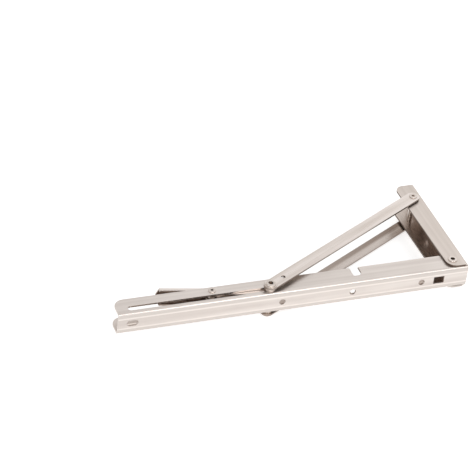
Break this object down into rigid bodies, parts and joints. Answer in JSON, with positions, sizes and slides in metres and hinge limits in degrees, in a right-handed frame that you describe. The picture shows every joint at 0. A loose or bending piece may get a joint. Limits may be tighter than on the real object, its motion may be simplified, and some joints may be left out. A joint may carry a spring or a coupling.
{
  "type": "folding shelf bracket",
  "caption": "Folding shelf bracket in stainless sheet: a wall arm and a shelf arm hinged together, a two-bar brace that slides and locks, and a sprung release lever.",
  "frame": {"origin": "centre of the wall arm's middle screw hole, on the face that goes against the wall", "axes": "the part lies on its side: +Z along the pivots, +X out of the wall arm's back towards the wall, +Y along the wall arm from the hinge to its tip; the shelf arm runs along -X and its shelf face looks along -Y"},
  "size_m": [0.3, 0.1143, 0.0312],
  "materials": {
    "arm_sheet": "satin brushed stainless sheet, brushed along its length",
    "brace_sheet": "satin brushed stainless flat bar",
    "lever_sheet": "satin stainless sheet, lightly tumbled",
    "rivet_steel": "turned and rolled stainless, smooth",
    "washer_steel": "turned stainless washers",
    "spring_wire": "drawn spring wire, smooth"
  },
  "bodies": {
    "wall_arm": {"wall_arm": "arm_sheet", "hinge_rivet": "rivet_steel", "wall_pin": "rivet_steel", "wall_pin_sleeve": "rivet_steel"},
    "shelf_arm": {"shelf_arm": "arm_sheet", "hinge_spacer": "rivet_steel", "lever_rivet": "rivet_steel", "lever_sleeve": "rivet_steel", "lever_spring": "spring_wire"},
    "slider": {"slider_pin": "rivet_steel", "slider_spacer_upper": "washer_steel", "slider_spacer_lower": "washer_steel", "slider_washer_upper": "washer_steel", "slider_washer_lower": "washer_steel"},
    "brace": {"brace_bar_upper": "brace_sheet", "brace_bar_lower": "brace_sheet", "brace_rivet_upper": "rivet_steel", "brace_rivet_lower": "rivet_steel"},
    "release_lever": {"release_lever": "lever_sheet"}
  },
  "joints": [
    {"name": "fold", "type": "hinge", "parent": "wall_arm", "child": "shelf_arm", "pos_m": [-0.0108, -0.0622, 0], "axis": [0, 0, -1], "range_deg": [0, 90]},
    {"name": "slider_travel", "type": "slide", "parent": "shelf_arm", "child": "slider", "axis": [-1, 0, 0], "range_m": [0, 0.1088]},
    {"name": "brace_swing", "type": "hinge", "parent": "slider", "child": "brace", "pos_m": [-0.1717, -0.0652, 0], "axis": [0, 0, -1], "range_deg": [0, 27.25]},
    {"name": "lever_press", "type": "hinge", "parent": "shelf_arm", "child": "release_lever", "pos_m": [-0.2181, -0.0577, 0], "axis": [0, 0, 1], "range_deg": [0, 12.5], "stiffness_Nm_per_rad": 0.05, "springref_deg": -28.65, "deforming": ["lever_spring"]}
  ],
  "couplings": [
    {"joint": "slider_travel", "follows": "fold", "m_per_rad": 0.06926},
    {"joint": "brace_swing", "follows": "fold", "ratio": 0.30274}
  ]
}
